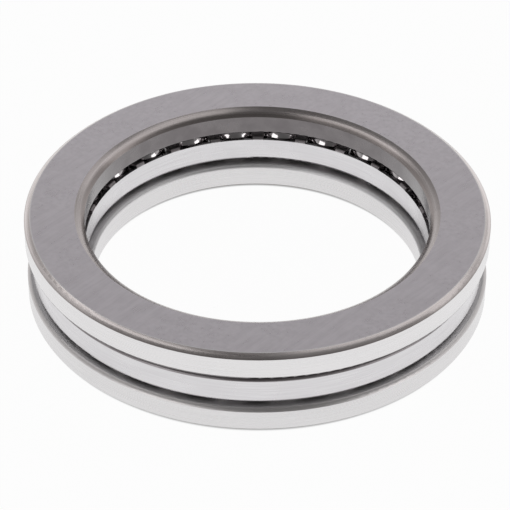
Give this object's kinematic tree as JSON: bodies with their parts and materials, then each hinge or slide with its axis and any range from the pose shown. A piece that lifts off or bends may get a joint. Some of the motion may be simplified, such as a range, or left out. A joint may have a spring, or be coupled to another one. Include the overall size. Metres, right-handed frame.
{
  "type": "thrust ball bearing",
  "caption": "Thrust ball bearing for axial load on a shaft: grooved steel washers with flat back faces, and a pressed cage of balls that roll between them.",
  "frame": {"origin": "middle of the shaft washer's back face, on the bearing's axis, with the bearing lying flat", "axes": "+Z along the bearing's axis, from the shaft washer's back face to the housing washer's back face"},
  "size_m": [0.07, 0.07, 0.014],
  "materials": {
    "washer_steel": "ground bearing steel, with turned and hardened grey-brown corners and bore",
    "cage_steel": "pressed bright sheet steel with faint drawing streaks",
    "ball_steel": "lapped and polished bearing steel"
  },
  "bodies": {
    "shaft_washer": {"shaft_washer": "washer_steel"},
    "housing_washer": {"housing_washer": "washer_steel"},
    "cage": {"cage": "cage_steel"},
    "ball_01": {"ball_01": "ball_steel"},
    "ball_02": {"ball_02": "ball_steel"},
    "ball_03": {"ball_03": "ball_steel"},
    "ball_04": {"ball_04": "ball_steel"},
    "ball_05": {"ball_05": "ball_steel"},
    "ball_06": {"ball_06": "ball_steel"},
    "ball_07": {"ball_07": "ball_steel"},
    "ball_08": {"ball_08": "ball_steel"},
    "ball_09": {"ball_09": "ball_steel"},
    "ball_10": {"ball_10": "ball_steel"},
    "ball_11": {"ball_11": "ball_steel"},
    "ball_12": {"ball_12": "ball_steel"},
    "ball_13": {"ball_13": "ball_steel"},
    "ball_14": {"ball_14": "ball_steel"},
    "ball_15": {"ball_15": "ball_steel"},
    "ball_16": {"ball_16": "ball_steel"},
    "ball_17": {"ball_17": "ball_steel"},
    "ball_18": {"ball_18": "ball_steel"},
    "ball_19": {"ball_19": "ball_steel"},
    "ball_20": {"ball_20": "ball_steel"},
    "ball_21": {"ball_21": "ball_steel"},
    "ball_22": {"ball_22": "ball_steel"},
    "ball_23": {"ball_23": "ball_steel"},
    "ball_24": {"ball_24": "ball_steel"}
  },
  "joints": [
    {"name": "housing_spin", "type": "hinge", "parent": "shaft_washer", "child": "housing_washer", "pos_m": [0, 0, 0.007], "axis": [0, 0, 1], "continuous": true},
    {"name": "cage_orbit", "type": "hinge", "parent": "shaft_washer", "child": "cage", "pos_m": [0, 0, 0.007], "axis": [0, 0, 1], "continuous": true},
    {"name": "ball_01_roll", "type": "hinge", "parent": "cage", "child": "ball_01", "pos_m": [0.02974, 0.00392, 0.007], "axis": [-0.9914, -0.1305, 0], "continuous": true},
    {"name": "ball_02_roll", "type": "hinge", "parent": "cage", "child": "ball_02", "pos_m": [0.02772, 0.01148, 0.007], "axis": [-0.9239, -0.3827, 0], "continuous": true},
    {"name": "ball_03_roll", "type": "hinge", "parent": "cage", "child": "ball_03", "pos_m": [0.0238, 0.01826, 0.007], "axis": [-0.7934, -0.6088, 0], "continuous": true},
    {"name": "ball_04_roll", "type": "hinge", "parent": "cage", "child": "ball_04", "pos_m": [0.01826, 0.0238, 0.007], "axis": [-0.6088, -0.7934, 0], "continuous": true},
    {"name": "ball_05_roll", "type": "hinge", "parent": "cage", "child": "ball_05", "pos_m": [0.01148, 0.02772, 0.007], "axis": [-0.3827, -0.9239, 0], "continuous": true},
    {"name": "ball_06_roll", "type": "hinge", "parent": "cage", "child": "ball_06", "pos_m": [0.00392, 0.02974, 0.007], "axis": [-0.1305, -0.9914, 0], "continuous": true},
    {"name": "ball_07_roll", "type": "hinge", "parent": "cage", "child": "ball_07", "pos_m": [-0.00392, 0.02974, 0.007], "axis": [0.1305, -0.9914, 0], "continuous": true},
    {"name": "ball_08_roll", "type": "hinge", "parent": "cage", "child": "ball_08", "pos_m": [-0.01148, 0.02772, 0.007], "axis": [0.3827, -0.9239, 0], "continuous": true},
    {"name": "ball_09_roll", "type": "hinge", "parent": "cage", "child": "ball_09", "pos_m": [-0.01826, 0.0238, 0.007], "axis": [0.6088, -0.7934, 0], "continuous": true},
    {"name": "ball_10_roll", "type": "hinge", "parent": "cage", "child": "ball_10", "pos_m": [-0.0238, 0.01826, 0.007], "axis": [0.7934, -0.6088, 0], "continuous": true},
    {"name": "ball_11_roll", "type": "hinge", "parent": "cage", "child": "ball_11", "pos_m": [-0.02772, 0.01148, 0.007], "axis": [0.9239, -0.3827, 0], "continuous": true},
    {"name": "ball_12_roll", "type": "hinge", "parent": "cage", "child": "ball_12", "pos_m": [-0.02974, 0.00392, 0.007], "axis": [0.9914, -0.1305, 0], "continuous": true},
    {"name": "ball_13_roll", "type": "hinge", "parent": "cage", "child": "ball_13", "pos_m": [-0.02974, -0.00392, 0.007], "axis": [0.9914, 0.1305, 0], "continuous": true},
    {"name": "ball_14_roll", "type": "hinge", "parent": "cage", "child": "ball_14", "pos_m": [-0.02772, -0.01148, 0.007], "axis": [0.9239, 0.3827, 0], "continuous": true},
    {"name": "ball_15_roll", "type": "hinge", "parent": "cage", "child": "ball_15", "pos_m": [-0.0238, -0.01826, 0.007], "axis": [0.7934, 0.6088, 0], "continuous": true},
    {"name": "ball_16_roll", "type": "hinge", "parent": "cage", "child": "ball_16", "pos_m": [-0.01826, -0.0238, 0.007], "axis": [0.6088, 0.7934, 0], "continuous": true},
    {"name": "ball_17_roll", "type": "hinge", "parent": "cage", "child": "ball_17", "pos_m": [-0.01148, -0.02772, 0.007], "axis": [0.3827, 0.9239, 0], "continuous": true},
    {"name": "ball_18_roll", "type": "hinge", "parent": "cage", "child": "ball_18", "pos_m": [-0.00392, -0.02974, 0.007], "axis": [0.1305, 0.9914, 0], "continuous": true},
    {"name": "ball_19_roll", "type": "hinge", "parent": "cage", "child": "ball_19", "pos_m": [0.00392, -0.02974, 0.007], "axis": [-0.1305, 0.9914, 0], "continuous": true},
    {"name": "ball_20_roll", "type": "hinge", "parent": "cage", "child": "ball_20", "pos_m": [0.01148, -0.02772, 0.007], "axis": [-0.3827, 0.9239, 0], "continuous": true},
    {"name": "ball_21_roll", "type": "hinge", "parent": "cage", "child": "ball_21", "pos_m": [0.01826, -0.0238, 0.007], "axis": [-0.6088, 0.7934, 0], "continuous": true},
    {"name": "ball_22_roll", "type": "hinge", "parent": "cage", "child": "ball_22", "pos_m": [0.0238, -0.01826, 0.007], "axis": [-0.7934, 0.6088, 0], "continuous": true},
    {"name": "ball_23_roll", "type": "hinge", "parent": "cage", "child": "ball_23", "pos_m": [0.02772, -0.01148, 0.007], "axis": [-0.9239, 0.3827, 0], "continuous": true},
    {"name": "ball_24_roll", "type": "hinge", "parent": "cage", "child": "ball_24", "pos_m": [0.02974, -0.00392, 0.007], "axis": [-0.9914, 0.1305, 0], "continuous": true}
  ],
  "couplings": [
    {"joint": "cage_orbit", "follows": "housing_spin", "ratio": 0.5},
    {"joint": "ball_01_roll", "follows": "housing_spin", "ratio": 4.1993},
    {"joint": "ball_02_roll", "follows": "housing_spin", "ratio": 4.1993},
    {"joint": "ball_03_roll", "follows": "housing_spin", "ratio": 4.1993},
    {"joint": "ball_04_roll", "follows": "housing_spin", "ratio": 4.1993},
    {"joint": "ball_05_roll", "follows": "housing_spin", "ratio": 4.1993},
    {"joint": "ball_06_roll", "follows": "housing_spin", "ratio": 4.1993},
    {"joint": "ball_07_roll", "follows": "housing_spin", "ratio": 4.1993},
    {"joint": "ball_08_roll", "follows": "housing_spin", "ratio": 4.1993},
    {"joint": "ball_09_roll", "follows": "housing_spin", "ratio": 4.1993},
    {"joint": "ball_10_roll", "follows": "housing_spin", "ratio": 4.1993},
    {"joint": "ball_11_roll", "follows": "housing_spin", "ratio": 4.1993},
    {"joint": "ball_12_roll", "follows": "housing_spin", "ratio": 4.1993},
    {"joint": "ball_13_roll", "follows": "housing_spin", "ratio": 4.1993},
    {"joint": "ball_14_roll", "follows": "housing_spin", "ratio": 4.1993},
    {"joint": "ball_15_roll", "follows": "housing_spin", "ratio": 4.1993},
    {"joint": "ball_16_roll", "follows": "housing_spin", "ratio": 4.1993},
    {"joint": "ball_17_roll", "follows": "housing_spin", "ratio": 4.1993},
    {"joint": "ball_18_roll", "follows": "housing_spin", "ratio": 4.1993},
    {"joint": "ball_19_roll", "follows": "housing_spin", "ratio": 4.1993},
    {"joint": "ball_20_roll", "follows": "housing_spin", "ratio": 4.1993},
    {"joint": "ball_21_roll", "follows": "housing_spin", "ratio": 4.1993},
    {"joint": "ball_22_roll", "follows": "housing_spin", "ratio": 4.1993},
    {"joint": "ball_23_roll", "follows": "housing_spin", "ratio": 4.1993},
    {"joint": "ball_24_roll", "follows": "housing_spin", "ratio": 4.1993}
  ]
}
